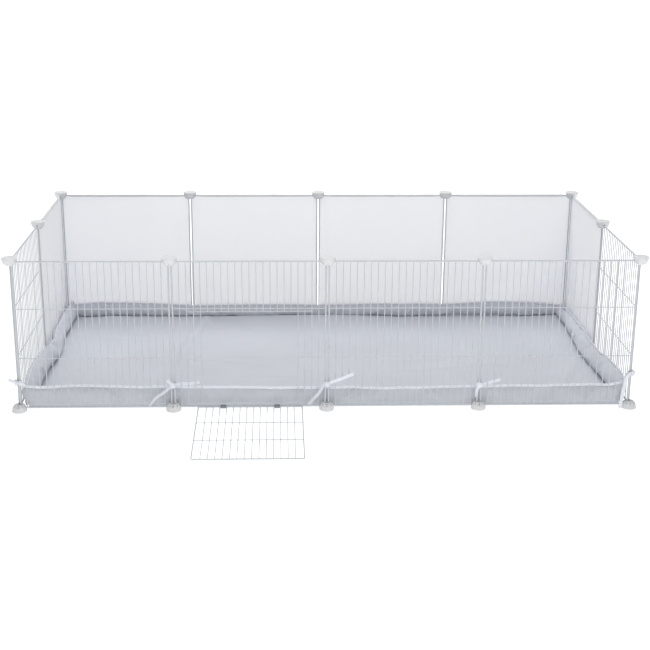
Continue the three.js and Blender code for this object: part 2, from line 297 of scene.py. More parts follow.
def plate_faces(columns, rows):
    """The faces of a closed plate whose points are one layer of rows and then another."""
    across, layer = columns + 1, (columns + 1) * (rows + 1)
    faces = []
    for j in range(rows):
        for i in range(columns):
            a = j * across + i
            quad = [a, a + 1, a + 1 + across, a + across]
            faces += [quad, [layer + n for n in reversed(quad)]]
    edge = list(range(columns)) + [j * across + columns for j in range(rows)]
    edge += [layer - 1 - i for i in range(columns)] + [(rows - j) * across for j in range(rows)]
    for a, b in zip(edge, edge[1:] + edge[:1]):
        faces.append([a, b, layer + b, layer + a])
    return faces


def squared(value, power=0.5):
    """A sine or cosine drawn towards 1 or -1, which squares off the oval made with it."""
    return math.copysign(abs(value) ** power, value)


def rounded(points, per_span=4, closed=False):
    """A Catmull-Rom line through points, per_span steps from each to the next."""
    p = np.asarray(points, float)
    n = len(p)
    made = []
    for i in range(n if closed else n - 1):
        at = [(i + k) % n if closed else min(max(i + k, 0), n - 1) for k in (-1, 0, 1, 2)]
        a, b, c, d = (p[k] for k in at)
        for step in range(per_span):
            t = step / per_span
            bend = (2 * a - 5 * b + 4 * c - d) * t**2
            made.append(0.5 * (2 * b + (c - a) * t + bend + (3 * b - a - 3 * c + d) * t**3))
    if not closed:
        made.append(p[-1])
    return np.array(made)


# ---- Wire panels ----


RIM_STEPS = 6  # at each bend of a rim


def rim_points(width, height, corner):
    points = []
    for x, z, quarter in (
        (width / 2 - corner, height - corner, 0),
        (corner - width / 2, height - corner, 1),
        (corner - width / 2, corner, 2),
        (width / 2 - corner, corner, 3),
    ):
        for i in range(RIM_STEPS + 1):
            angle = (quarter + i / RIM_STEPS) * math.pi / 2
            points.append((x + corner * math.cos(angle), 0, z + corner * math.sin(angle)))
    return points


def wire_mesh(name, wires):
    """Round wires in one mesh: each is its points, its radius and whether it closes on itself."""
    curve = bpy.data.curves.new(name, "CURVE")
    curve.dimensions = "3D"
    curve.bevel_depth = MM
    curve.bevel_resolution = 3
    curve.use_fill_caps = True
    for points, radius, closed in wires:
        spline = curve.splines.new("POLY")
        spline.points.add(len(points) - 1)
        for place, point in zip(spline.points, points):
            place.co = (*point, 1)
            place.radius = radius / MM
        spline.use_cyclic_u = closed
    drawn = bpy.data.objects.new(name, curve)
    mesh = bpy.data.meshes.new_from_object(drawn)
    bpy.data.objects.remove(drawn)
    mesh.name = name
    return smooth(mesh, 50)


def upright(x, low, high):
    return [(x, -UPRIGHT_OUT, low), (x, -UPRIGHT_OUT, high)], MESH_RADIUS, False


def crossbar(left, right, z):
    return [(left, CROSS_IN, z), (right, CROSS_IN, z)], MESH_RADIUS, False


def panel_rim():
    return rim_points(RIM_SIZE, RIM_SIZE, RIM_CORNER), RIM_RADIUS, True


def mesh_places():
    return [i * MESH_STEP - RIM_HALF for i in range(1, MESH_SPACES)]


def mesh_panel():
    wires = [panel_rim()]
    wires += [upright(x, 0, RIM_SIZE) for x in mesh_places()]
    wires += [crossbar(-RIM_HALF, RIM_HALF, z) for z in CROSSBARS]
    return wire_mesh("mesh_panel", wires)


def lower_lintel():
    """The lintel's second wire, curled up to the first in a small loop at each end."""
    inner, outer = LINTEL_BEND
    high = CROSSBARS[1]
    low = high - LINTEL_DROP
    half = [
        (outer, high),
        (outer - 0.002, high - 0.0026),
        (inner + 0.004, low + 0.0012),
        (inner, low),
        (inner - 0.012, low),
    ]
    points = [(-x, CROSS_IN, z) for x, z in half] + [(x, CROSS_IN, z) for x, z in reversed(half)]
    return [tuple(p) for p in rounded(points, 4)], MESH_RADIUS, False


def door_panel():
    low, high = CROSSBARS
    wires = [panel_rim(), lower_lintel(), crossbar(-RIM_HALF, RIM_HALF, high)]
    for x in mesh_places():
        over_door = abs(x) < DOORWAY_HALF - MM
        wires.append(upright(x, high - LINTEL_DROP if over_door else 0, RIM_SIZE))
    wires.append(crossbar(-RIM_HALF, -DOORWAY_HALF, low))
    wires.append(crossbar(DOORWAY_HALF, RIM_HALF, low))
    return wire_mesh("door_panel", wires)


def door_leaf():
    wires = [(rim_points(DOOR_WIDTH, DOOR_LENGTH, DOOR_CORNER), DOOR_RADIUS, True)]
    middle = (DOOR_UPRIGHTS - 1) / 2
    wires += [upright((i - middle) * DOOR_STEP, 0, DOOR_LENGTH) for i in range(DOOR_UPRIGHTS)]
    for share in (1 / 3, 2 / 3):
        wires.append(crossbar(-DOOR_WIDTH / 2, DOOR_WIDTH / 2, share * DOOR_LENGTH))
    return wire_mesh("door_wires", wires)


# Each side of the pen: the turn that faces a panel outwards, and where a place along it is.
SIDES = {
    "front": (0, lambda along: (along, -HALF_Y)),
    "right": (math.pi / 2, lambda along: (HALF_X, along)),
    "back": (math.pi, lambda along: (along, HALF_Y)),
    "left": (-math.pi / 2, lambda along: (-HALF_X, along)),
}


def side_matrix(side, along, z):
    turn, place = SIDES[side]
    return Matrix.Translation((*place(along), z)) @ Matrix.Rotation(turn, 4, "Z")


def bays():
    """Each panel's name, its side, its middle's place along the side, and whether it is clear."""
    for bay in range(4):
        middle = -HALF_X + (bay + 0.5) * PITCH
        yield f"front_{bay + 1}", "front", middle, False
        yield f"back_{bay + 1}", "back", middle, True
    for side in ("left", "right"):
        yield f"{side}_front", side, -PITCH / 2, False
        yield f"{side}_back", side, PITCH / 2, True


def add_panels(coat, plastic):
    mesh, rim, door_way = mesh_panel(), wire_mesh("clear_rim", [panel_rim()]), door_panel()
    film = sheet_mesh()
    for name, side, along, clear in bays():
        data = rim if clear else door_way if name == "front_2" else mesh
        matrix = side_matrix(side, along, RIM_BASE)
        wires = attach(add_object(f"wires_{name}", data, coat, matrix), "root")
        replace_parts(wires, f"panel_{name}")
        if clear:
            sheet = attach(add_object(f"film_{name}", film, plastic, matrix), "root")
            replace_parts(sheet, f"sheet_{name}")


def add_door(coat, steel):
    matrix = Matrix.Translation((DOOR_X, -HALF_Y - HINGE_OUT, RIM_BASE))
    matrix @= Matrix.Rotation(math.pi / 2 + DOOR_SLOPE, 4, "X")
    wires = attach(add_object("door_wires", door_leaf(), coat, matrix), "door")
    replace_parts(wires, "door")
    for name in ("hinge_clip_left", "hinge_clip_right"):
        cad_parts[name].data.materials.clear()
        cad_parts[name].data.materials.append(steel)


# ---- Frosted sheets ----

SHEET_THICKNESS = 0.0009
SHEET_GAP = 0.0004  # between its edge and the rim
SHEET_WAVE = 0.0004
SHEET_COLUMNS = 24
SHEET_CORNER_STEPS = 5
HEM_HALF = 0.150
HEM_OUTER = 0.0030
HEM_INNER = 0.0023
HEM_SIDES = 20


def sheet_plate():
    """A thin plate with round corners and a slight wave, as points and faces."""
    corner = RIM_CORNER - RIM_RADIUS
    straight = RIM_HALF - RIM_RADIUS - SHEET_GAP - corner
    turns = [i / SHEET_CORNER_STEPS * math.pi / 2 for i in range(SHEET_CORNER_STEPS + 1)]
    arc = [straight + corner * math.sin(turn) for turn in turns]
    middle = list(np.linspace(-straight, straight, SHEET_COLUMNS + 1))
    rows = [-z for z in reversed(arc)] + middle[1:-1] + arc
    points = []
    for face in (-1, 1):
        for z in rows:
            over = max(0.0, abs(z) - straight)
            width = straight + math.sqrt(max(corner**2 - over**2, 0.0))
            for i in range(SHEET_COLUMNS + 1):
                x = (2 * i / SHEET_COLUMNS - 1) * width
                wave = SHEET_WAVE * noise.noise(Vector((x * 9, z * 5, 3.7)))
                points.append((x, wave + face * SHEET_THICKNESS / 2, z + RIM_HALF))
    return points, plate_faces(SHEET_COLUMNS, len(rows) - 1)


def hem(z, first):
    """The sheet's edge folded round a wire: a thin-walled tube along X."""
    points = []
    rings = [(-HEM_HALF, HEM_OUTER), (HEM_HALF, HEM_OUTER), (HEM_HALF, HEM_INNER), (-HEM_HALF, HEM_INNER)]
    for x, radius in rings:
        for k in range(HEM_SIDES):
            angle = k / HEM_SIDES * math.tau
            points.append((x, radius * math.cos(angle), z + radius * math.sin(angle)))
    return points, tube_faces(len(rings), HEM_SIDES, closed=True, first=first)


def sheet_mesh():
    points, faces = sheet_plate()
    for z in (0, RIM_SIZE):
        more_points, more_faces = hem(z, len(points))
        points += more_points
        faces += more_faces
    return mesh_of("film", points, faces, 40)


# ---- Connectors ----

# The turned outline, as radius and height in mm: a dished outer face, a rim and a dome.
CONNECTOR_OUTLINE = [
    (0, 0.5), (5.5, 0.5), (6.0, 0.0), (11.6, 0.0), (12.0, 0.5), (13.0, 0.5), (13.4, 0.0),
    (16.0, 0.0), (16.7, 0.3), (17.0, 0.9), (17.0, 4.0), (16.8, 4.9), (16.5, 5.4), (16.3, 7.0),
    (15.8, 9.5), (14.9, 12.0), (13.5, 14.4), (11.6, 16.6), (10.4, 17.6), (9.2, 18.0), (0, 18.0),
]
# Its slots: the ones that hold wires, and the ones left over on a straight run or at a corner.
WIRE_SLOT = (0.0046, 0.0077)  # width, and how high its floor is
SPARE_SLOT = (0.0024, 0.0125)
SPARE_CORE = 0.0095  # a spare slot stops this far from the middle
SLOT_REACH = 0.025  # every slot is cut out to here, clear of the connector's edge
SLOT_PAST = 0.001  # the ones that hold wires start this far past the middle
SLOT_DEPTH = 0.020
CONNECTOR_SIDES = 64
CONNECTOR_BEVEL = 0.0003


def turned_mesh(name, outline, sides):
    points = [(0, 0, outline[0][1] * MM)]
    for radius, z in outline[1:-1]:
        for k in range(sides):
            angle = k / sides * math.tau
            points.append((radius * MM * math.cos(angle), radius * MM * math.sin(angle), z * MM))
    points.append((0, 0, outline[-1][1] * MM))
    rings = len(outline) - 2
    faces = tube_faces(rings, sides, first=1)[:-2]
    last = len(points) - 1
    for k in range(sides):
        m = (k + 1) % sides
        faces.append([0, 1 + m, 1 + k])
        faces.append([last, last - sides + k, last - sides + m])
    return mesh_of(name, points, faces)


def slot_cutter(wire_turns):
    built = bmesh.new()
    for turn in range(8):
        through = turn in wire_turns
        width, floor = WIRE_SLOT if through else SPARE_SLOT
        inner = -SLOT_PAST if through else SPARE_CORE
        matrix = Matrix.Rotation(turn * math.pi / 4, 4, "Z")
        matrix @= Matrix.Translation(((inner + SLOT_REACH) / 2, 0, floor + SLOT_DEPTH / 2))
        matrix @= Matrix.Diagonal((SLOT_REACH - inner, width, SLOT_DEPTH, 1))
        bmesh.ops.create_cube(built, size=1, matrix=matrix)
    mesh = bpy.data.meshes.new("slots")
    built.to_mesh(mesh)
    built.free()
    return mesh


def connector_mesh(name, wire_turns):
    """A connector whose slots hold wires along the given eighths of a turn."""
    body = bpy.data.objects.new("turned", turned_mesh("turned", CONNECTOR_OUTLINE, CONNECTOR_SIDES))
    cutter = bpy.data.objects.new("cutter", slot_cutter(wire_turns))
    for made in (body, cutter):
        bpy.context.scene.collection.objects.link(made)
    cut = body.modifiers.new("slots", "BOOLEAN")
    cut.object = cutter
    cut.operation = "DIFFERENCE"
    cut.solver = "EXACT"
    cut.use_self = True
    bevel = body.modifiers.new("edges", "BEVEL")
    bevel.width = CONNECTOR_BEVEL
    bevel.segments = 2
    bevel.limit_method = "ANGLE"
    bevel.angle_limit = math.radians(40)
    depsgraph = bpy.context.evaluated_depsgraph_get()
    mesh = bpy.data.meshes.new_from_object(body.evaluated_get(depsgraph))
    for made in (body, cutter):
        bpy.data.objects.remove(made)
    mesh.name = name
    return smooth(mesh, 35)


def connector_turn(x, y, on_top):
    """The turn about Z that lines a post's wire slots up with its panels, in its own frame."""
    if abs(y) < HALF_Y - MM:
        return math.pi / 2
    if abs(x) < HALF_X - MM:
        return 0.0
    inwards = math.atan2(y if on_top else -y, -x)
    return math.floor(inwards / (math.pi / 2)) * math.pi / 2


def add_connectors(plastic):
    straight = connector_mesh("straight_connector", (0, 4))
    corner = connector_mesh("corner_connector", (0, 2))
    for node_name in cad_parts:
        if not node_name.startswith("connector_"):
            continue
        low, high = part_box(node_name)
        x, y = (low.x + high.x) / 2, (low.y + high.y) / 2
        on_top = node_name.startswith("connector_top")
        matrix = Matrix.Translation((x, y, TOTAL_HEIGHT if on_top else 0))
        if on_top:
            matrix @= Matrix.Rotation(math.pi, 4, "X")
        matrix @= Matrix.Rotation(connector_turn(x, y, on_top), 4, "Z")
        at_corner = abs(x) > HALF_X - MM and abs(y) > HALF_Y - MM
        data = corner if at_corner else straight
        piece = add_object(node_name.replace("connector", "cap"), data, plastic, matrix)
        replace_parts(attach(piece, "root"), node_name)


# ---- Mat walls ----

# A wall's section before it is blown up, as distances in from the line of the posts and
# heights in mm: a roll that leans outwards and stands clear of the mat's floor.
WALL_SECTION = [
    (15, 9.5), (20.5, 9.5), (26, 16), (28.5, 25), (27.5, 35), (23, 44), (17, 49), (12, 48.5),
    (9.5, 42), (9.5, 32), (11, 20),
]
WALL_HEIGHT = 49
WALL_STEP = 0.005
WALL_BASE = 0.0095
SECTION_STEPS = 3
END_GAP = 0.003  # between two walls at a corner, before they are blown up
CORNER_GAP = 0.0045  # from the line of the posts to a wall's end

# Parts of the section, in mm: its inner side and its upper side, and the band above its foot
# that is drawn back under the roll.
INNER_FROM, INNER_WIDTH = 12, 15
UPPER_FROM, UPPER_RISE = 24, 14
UNDERCUT_AT, UNDERCUT_RISE = 14, 9
WALL_UNDERCUT = {"front": 0, "right": 6, "back": 10, "left": 7}
TIE_PINCH = 5  # how far, in mm, a tie draws the roll's upper inner side outwards
TIE_SPREAD = 0.022  # and how far along the wall that reaches

# The height in mm of each wall along its length, from its left end as seen from outside, and
# how far its inner face is pushed inwards.
WALL_TOPS = {
    "front": [
        (-0.69, 60), (-0.65, 57), (-0.56, 59), (-0.47, 57.5), (-0.38, 55), (-0.27, 55.5), (-0.13, 53),
        (0, 52), (0.13, 49.5), (0.23, 49.5), (0.32, 52), (0.48, 54), (0.62, 55.5), (0.66, 57), (0.69, 64),
    ],
    "right": [
        (-0.345, 62), (-0.32, 69), (-0.29, 69), (-0.2, 61), (-0.15, 57), (-0.04, 47), (0.06, 50), (0.2, 48),
        (0.325, 43),
    ],
    "back": [
        (-0.69, 37), (-0.646, 43), (-0.606, 46.5), (-0.5, 48.5), (-0.44, 46), (-0.37, 43), (-0.28, 43.5),
        (-0.17, 43.5), (-0.09, 43), (0, 41), (0.05, 42), (0.3, 42), (0.34, 40.5), (0.38, 42.5),
        (0.42, 44.5), (0.5, 48), (0.61, 50), (0.65, 46), (0.69, 44),
    ],
    "left": [
        (-0.34, 56), (-0.24, 54), (-0.1, 53), (-0.03, 49), (0.02, 49), (0.06, 59), (0.1, 66), (0.21, 71),
        (0.3, 74), (0.325, 70), (0.345, 62),
    ],
}
WALL_PUSH = {
    "front": [(0, 0)],
    "right": [(-0.35, 0), (-0.2, 2), (-0.1, 9), (-0.03, 13), (0.03, 13), (0.12, 7), (0.25, 0)],
    "back": [(0, 0)],
    "left": [(-0.35, 0), (-0.16, 1), (-0.04, 9), (0.01, 11), (0.13, 4), (0.25, 1)],
}


def looked_up(table, at):
    """The value at a place, or an array of them, in a table of (place, value) rows."""
    return np.interp(at, *zip(*table))


def to_post(along, half_length):
    """The distance from a place along a side to the nearest post that isn't at its corners."""
    if abs(along) > half_length - PITCH / 2:
        return PITCH / 2
    return abs((along / PITCH + 0.5) % 1 - 0.5) * PITCH


def wall_section(side, along):
    """The section of a side's wall at a place along it, in metres, drawn in where it is tied."""
    tied = math.exp(-((to_post(along, HALF_LENGTH[side]) / TIE_SPREAD) ** 2))
    base = WALL_BASE / MM
    stretch = (looked_up(WALL_TOPS[side], along) - base) / (WALL_HEIGHT - base)
    push = looked_up(WALL_PUSH[side], along)
    section = []
    for inwards, z in WALL_SECTION:
        inner = max(0.0, (inwards - INNER_FROM) / INNER_WIDTH)
        upper = min(max((z - UPPER_FROM) / UPPER_RISE, 0.0), 1.0)
        pushed = inwards + push * inner * (1 - 0.5 * upper) - TIE_PINCH * tied * inner * upper
        if inner:
            pushed -= WALL_UNDERCUT[side] * max(0.0, 1 - abs(z - UNDERCUT_AT) / UNDERCUT_RISE)
        section.append((pushed, base + (z - base) * stretch))
    return rounded(section, SECTION_STEPS, closed=True) * MM


def wall_core(side, half_length):
    """A wall along X, inwards along +Y, mitred at its ends, before it is blown up."""
    count = int(2 * half_length / WALL_STEP) + 1
    points = []
    for i in range(count):
        share = 2 * i / (count - 1) - 1
        for inwards, z in wall_section(side, share * half_length):
            points.append((share * (half_length - inwards - END_GAP), inwards, z))
    sides = len(WALL_SECTION) * SECTION_STEPS
    return mesh_of(f"bolster_{side}", points, tube_faces(count, sides))


REMESH = 0.005
INFLATE_FRAMES = 20
INFLATE_CAP = 0.007  # no point of the cloth moves further than this
CLOTH = {
    "quality": 6,
    "mass": 0.25,
    "tension_stiffness": 18,
    "compression_stiffness": 18,
    "shear_stiffness": 8,
    "bending_stiffness": 0.15,
    "use_pressure": True,
    "uniform_pressure_force": 4.0,
    "shrink_min": -0.035,  # the cloth is cut this much bigger than its shape
    "vertex_group_mass": "held",
}
SEWN_FOOT = 0.002  # a wall is sewn down up to this far above its base
GATHER_HALF = 0.006  # half the length of wall that a tie gathers
GATHER_IN = 0.016  # how far in from the line of the posts it does so
GATHER_HOLD = 0.85


def remeshed(mesh, size):
    """The same closed shape with even faces of the given size."""
    drawn = bpy.data.objects.new("remesh", mesh)
    bpy.context.scene.collection.objects.link(drawn)
    remesh = drawn.modifiers.new("voxels", "REMESH")
    remesh.mode = "VOXEL"
    remesh.voxel_size = size
    depsgraph = bpy.context.evaluated_depsgraph_get()
    made = bpy.data.meshes.new_from_object(drawn.evaluated_get(depsgraph))
    bpy.data.objects.remove(drawn)
    return made


def coordinates(mesh):
    flat = np.empty(len(mesh.vertices) * 3, np.float32)
    mesh.vertices.foreach_get("co", flat)
    return flat.reshape(-1, 3)


def inflated(mesh, held):
    """The mesh after its cloth is blown up; held(x, y, z) says from 0 to 1 how far a point is sewn."""
    start = coordinates(mesh)
    drawn = bpy.data.objects.new("inflate", mesh)
    bpy.context.scene.collection.objects.link(drawn)
    group = drawn.vertex_groups.new(name="held")
    for i, place in enumerate(start):
        weight = held(*place)
        if weight > 0:
            group.add([i], weight, "REPLACE")
    cloth = drawn.modifiers.new("cloth", "CLOTH")
    for setting, value in CLOTH.items():
        setattr(cloth.settings, setting, value)
    cloth.settings.effector_weights.gravity = 0
    cloth.point_cache.frame_start = 1
    cloth.point_cache.frame_end = INFLATE_FRAMES
    for frame_number in range(1, INFLATE_FRAMES + 1):
        bpy.context.scene.frame_set(frame_number)
    depsgraph = bpy.context.evaluated_depsgraph_get()
    made = bpy.data.meshes.new_from_object(drawn.evaluated_get(depsgraph))
    bpy.data.objects.remove(drawn)
    bpy.context.scene.frame_set(1)
    moved = coordinates(made) - start
    far = np.maximum(np.linalg.norm(moved, axis=1, keepdims=True), 1e-9)
    made.vertices.foreach_set("co", (start + moved * np.minimum(1, INFLATE_CAP / far)).ravel())
    return made


def wall_held(half_length):
    """The wall is sewn along its foot and gathered a little at the posts it is tied to."""

    def held(x, y, z):
        if z < WALL_BASE + SEWN_FOOT:
            return 1.0
        at_tie = to_post(x, half_length) < GATHER_HALF and y < GATHER_IN
        return GATHER_HOLD if at_tie else 0.0

    return held


def evened(line, passes):
    """The rows of a line after each is drawn towards its neighbours, a number of times over."""
    for _ in range(passes):
        line[1:-1] = (line[:-2] + 2 * line[1:-1] + line[2:]) / 4
    return line


TOP_STEP = 0.008  # between the places along a wall at which its top is measured
TOP_REACH = 0.009  # such a place takes in the points this near to it
TOP_END = 0.020  # from the line of the posts to the last of them


def near_to(places, x):
    return places[np.abs(places[:, 0] - x) < TOP_REACH]


def set_size(mesh, side, half_length):
    """Stretches a blown-up wall into the corners, and its top to the right height all along it."""
    places = coordinates(mesh)
    places[:, 0] *= (half_length - CORNER_GAP) / np.abs(places[:, 0]).max()
    last = half_length - TOP_END
    at = np.linspace(-last, last, int(2 * half_length / TOP_STEP))
    tops = np.array([near_to(places, x)[:, 2].max() for x in at])
    wanted = looked_up(WALL_TOPS[side], at) * MM
    stretch = (wanted - WALL_BASE) / (evened(tops, 4) - WALL_BASE)
    places[:, 2] = WALL_BASE + (places[:, 2] - WALL_BASE) * np.interp(places[:, 0], at, stretch)
    mesh.vertices.foreach_set("co", places.ravel())


def wall_mesh(side):
    half_length = HALF_LENGTH[side]
    core = wall_core(side, half_length)
    blown = inflated(remeshed(core, REMESH), wall_held(half_length))
    set_size(blown, side, half_length)
    return smooth(blown)


def add_walls(fabric):
    """The four walls; gives back each wall's object by its side."""
    walls = {}
    for side in SIDES:
        mesh = wall_mesh(side)
        mesh.name = f"bolster_{side}"
        wall = add_object(f"bolster_{side}", mesh, fabric, side_matrix(side, 0, 0))
        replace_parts(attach(wall, "root"), f"mat_wall_{side}")
        wall.modifiers.new("finer", "SUBSURF").levels = 1
        wall.modifiers["finer"].render_levels = 1
        walls[side] = wall
    return walls


# ---- Binding along the top of the mat's walls ----

BINDING_HALF = (1.1, 3.2)  # half its thickness and height, in mm
BINDING_STEP = 0.006
BINDING_DROP = 0.0012  # its middle below the top of the wall
BINDING_END = 0.009  # from the line of the posts to its ends
BINDING_SWAY = 0.0004
BINDING_SIDES = 12
CREST = 0.006  # the points of a wall this close below its top are its crest
# How far in from the crest's outer edge it stands.
BINDING_IN = {"front": 0.0010, "right": 0.0010, "back": 0.0, "left": 0.0085}


def wall_ridge(mesh, half_length, inwards):
    """Points along the outer edge of a wall's top: where it is highest, near its outer face."""
    places = coordinates(mesh)
    count = int(2 * half_length / BINDING_STEP)
    ridge = []
    for i in range(count + 1):
        x = (2 * i / count - 1) * (half_length - BINDING_END)
        near = near_to(places, x)
        top = near[:, 2].max()
        crest = near[near[:, 2] > top - CREST]
        ridge.append((x, crest[:, 1].min() + inwards, top - BINDING_DROP))
    return evened(np.array(ridge), 8)


def binding_mesh(name, ridge):
    points = []
    half_width, half_height = (half * MM for half in BINDING_HALF)
    for x, y, z in ridge:
        sway = BINDING_SWAY * noise.noise(Vector((x * 40, y * 90, 2)))
        for k in range(BINDING_SIDES):
            angle = k / BINDING_SIDES * math.tau
            across, up = squared(math.cos(angle), 0.6), squared(math.sin(angle), 0.6)
            points.append((x, y + sway + half_width * across, z + half_height * up))
    return mesh_of(name, points, tube_faces(len(ridge), BINDING_SIDES), 50)


def add_binding(walls, tape):
    for side, wall in walls.items():
        ridge = wall_ridge(wall.data, HALF_LENGTH[side], BINDING_IN[side])
        mesh = binding_mesh(f"binding_{side}", ridge)
        piece = add_object(f"binding_{side}", mesh, tape, side_matrix(side, 0, 0))
        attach(piece, "root")


# ---- Mat floor ----

FLOOR_HALF = (HALF_X - MAT_INSET, HALF_Y - MAT_INSET)
FLOOR_TOP = 0.0118
FLOOR_EDGE = 0.0113  # its height at its very edge
FLOOR_UNDER = 0.0004
FLOOR_STEP = 0.005
FLOOR_ROUNDING = 0.002  # how far in its edge is rounded
LOOSE_FROM, LOOSE_WIDTH = 0.004, 0.012  # folds grow over this much of the floor inside its edge
SWELL = 0.0012
CRUMPLE = 0.0004
FOLD_TAPER = 0.02  # a fold gets no shallower over this share of it at each end

# Folds as start, end, width and height: the long fold by the first post, and wrinkles.
FLOOR_FOLDS = [
    ((-0.308, 0.322), (-0.348, 0.090), 0.012, 0.0080),
    ((-0.344, 0.150), (-0.362, -0.310), 0.014, 0.0085),
    ((-0.312, 0.317), (-0.285, 0.222), 0.010, 0.0045),
    ((-0.300, 0.224), (-0.050, 0.216), 0.008, 0.0030),
    ((0.040, 0.230), (0.240, 0.226), 0.010, 0.0022),
    ((-0.350, 0.300), (-0.400, 0.200), 0.012, 0.0035),
    ((-0.275, -0.006), (-0.060, -0.026), 0.0055, 0.0026),
    ((-0.335, -0.024), (-0.145, -0.072), 0.0065, 0.0028),
    ((-0.210, -0.150), (-0.055, -0.158), 0.0055, 0.0024),
    ((-0.330, -0.225), (-0.120, -0.232), 0.006, 0.0022),
    ((-0.010, 0.300), (0.012, -0.290), 0.016, 0.0040),
    ((0.350, 0.290), (0.335, 0.060), 0.014, 0.0034),
    ((0.140, -0.060), (0.420, -0.015), 0.009, 0.0028),
    ((0.170, -0.130), (0.520, -0.060), 0.010, 0.0026),
    ((0.560, -0.250), (0.650, -0.040), 0.013, 0.0040),
    ((0.560, 0.290), (0.610, 0.020), 0.016, 0.0034),
    ((-0.640, -0.230), (-0.560, -0.020), 0.013, 0.0036),
    ((-0.600, 0.150), (-0.430, 0.120), 0.009, 0.0024),
]


def fold(x, y, start, end, width, height):
    """The rise of a soft fold of the cloth from one point to another, highest along its middle."""
    along = np.subtract(end, start)
    share = ((x - start[0]) * along[0] + (y - start[1]) * along[1]) / along.dot(along)
    share = np.clip(share, 0, 1)
    off = np.hypot(x - start[0] - share * along[0], y - start[1] - share * along[1])
    fade = np.sin(np.pi * np.clip(share, FOLD_TAPER, 1 - FOLD_TAPER)) ** 0.5
    return height * fade * np.exp(-((off / width) ** 2))


LIFT_FROM = 0.225  # from here to the back wall's seam the cloth rises
SEAM_Y = 0.320
# How far it is drawn up at the seam, in mm.
BACK_LIFT = [
    (-0.68, 1), (-0.62, 4), (-0.57, 8), (-0.51, 5.5), (-0.42, 4), (-0.3, 5), (-0.19, 6.5), (-0.05, 8.5),
    (0.05, 8.5), (0.15, 5), (0.23, 2), (0.45, 1.2), (0.58, 1.5), (0.64, 4), (0.675, 5.5),
]


def uneven(x, y, scale_x, scale_y, seed):
    """Smooth noise from -1 to 1 at each of many places."""
    return np.array([noise.noise(Vector((u * scale_x, v * scale_y, seed))) for u, v in zip(x, y)])


def floor_heights(x, y):
    inside = np.minimum(FLOOR_HALF[0] - np.abs(x), FLOOR_HALF[1] - np.abs(y))
    rounding = 1 - np.exp(-inside / FLOOR_ROUNDING)
    open_floor = 1 - np.exp(-((np.maximum(inside - LOOSE_FROM, 0) / LOOSE_WIDTH) ** 2))
    loose = SWELL * uneven(x, y, 7, 9, 1.3) + CRUMPLE * uneven(x, y, 30, 34, 5)
    loose += sum(fold(x, y, *one) for one in FLOOR_FOLDS)
    slope = np.clip((y - LIFT_FROM) / (SEAM_Y - LIFT_FROM), 0, 1) ** 1.3
    beyond_seam = np.clip((FLOOR_HALF[1] - y) / (FLOOR_HALF[1] - SEAM_Y), 0, 1)
    lift = looked_up(BACK_LIFT, x) * MM * slope * beyond_seam
    return FLOOR_EDGE + (FLOOR_TOP - FLOOR_EDGE) * rounding + loose * open_floor + lift


def floor_mesh():
    half_x, half_y = FLOOR_HALF
    columns, rows = (int(2 * half / FLOOR_STEP) for half in FLOOR_HALF)
    x, y = np.meshgrid(np.linspace(-half_x, half_x, columns + 1), np.linspace(-half_y, half_y, rows + 1))
    x, y = x.ravel(), y.ravel()
    under = np.column_stack([x, y, np.full(len(x), FLOOR_UNDER)])
    top = np.column_stack([x, y, floor_heights(x, y)])
    return mesh_of("mat_pad", np.concatenate([under, top]), plate_faces(columns, rows), 60)


def add_floor_pad(fabric):
    pad = add_object("mat_pad", floor_mesh(), fabric)
    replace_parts(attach(pad, "root"), "mat_floor")


# ---- Ribbon ties ----

CORNER_INSET = 0.0027  # at a corner the loop goes round both wires on the diagonal
LOOP_HALF = (0.0080, 0.0045)
LOOP_POINTS = 28
LOOP_SLANT = 0.001
KNOT_OUT = 0.0065  # from the middle of the loop to the middle of the knot

# Each tie's post, the turn in degrees that faces its knot outwards, the knot's height in mm,
# and its ends. An end runs through points from its post and heights above the floor, in mm, or
# starts in the knot where the first is None. The two numbers after its points are how far the
# ribbon is turned about its length at its start and at its end, in degrees.
TIES = {
    "corner_left": ((-HALF_X, -HALF_Y), -45, 71, [
        ([None, (-10, -5, 75), (-19, -6, 80)], 0, 15),
        ([None, (6, -5, 69), (12.5, -0.5, 65), (16, 7, 58)], 0, 0),
    ]),
    "front_1": ((-PITCH, -HALF_Y), 0, 64, [
        ([None, (6, -3.9, 64), (12.5, -0.6, 64), (18.5, 2.4, 64), (36, 3, 64), (60, 3.5, 67.5)], 0, 10),
        ([None, (-19, -7, 48), (-34, -7, 37.5), (-46, -7, 26.5), (-55, -7, 14)], 45, 62),
        ([(0, 4.5, 63), (0, 8.5, 56.5)], 0, 0),
        ([None, (-6, -7.5, 70.5), (-12, -7, 77)], 0, 25),
    ]),
    "front_2": ((0, -HALF_Y), 0, 65, [
        ([None, (33, -7, 78), (60, -7, 89.5)], 10, 0),
        ([None, (-9, -7, 60), (-17, -7, 45), (-26, -7, 34.5), (-43, -7, 15)], 30, 50),
        ([(0, 4.5, 63), (0, 8.5, 56.5)], 0, 0),
    ]),
    "front_3": ((PITCH, -HALF_Y), 0, 61, [
        ([None, (6, -3.9, 60), (12.5, -0.6, 60.5), (18.5, 2.4, 61.5), (34, 3, 65.5), (49, 3.5, 70)], 0, 10),
        ([None, (-6, -7, 48), (-7.5, -7, 31)], 0, 70),
        ([(0, 4.5, 61), (0, 8.5, 56.5)], 0, 0),
    ]),
    "corner_right": ((HALF_X, -HALF_Y), 45, 86, [
        ([None, (-7, -7.5, 83), (-14, -8, 72), (-15.5, -7.5, 56), (-18, -7.5, 42), (-21.5, -6.5, 2)], 0, 10),
        ([(-5.4, 5.4, 84), (-10, 10, 70), (-13.5, 13.5, 57.5)], 0, 0),
    ]),
}
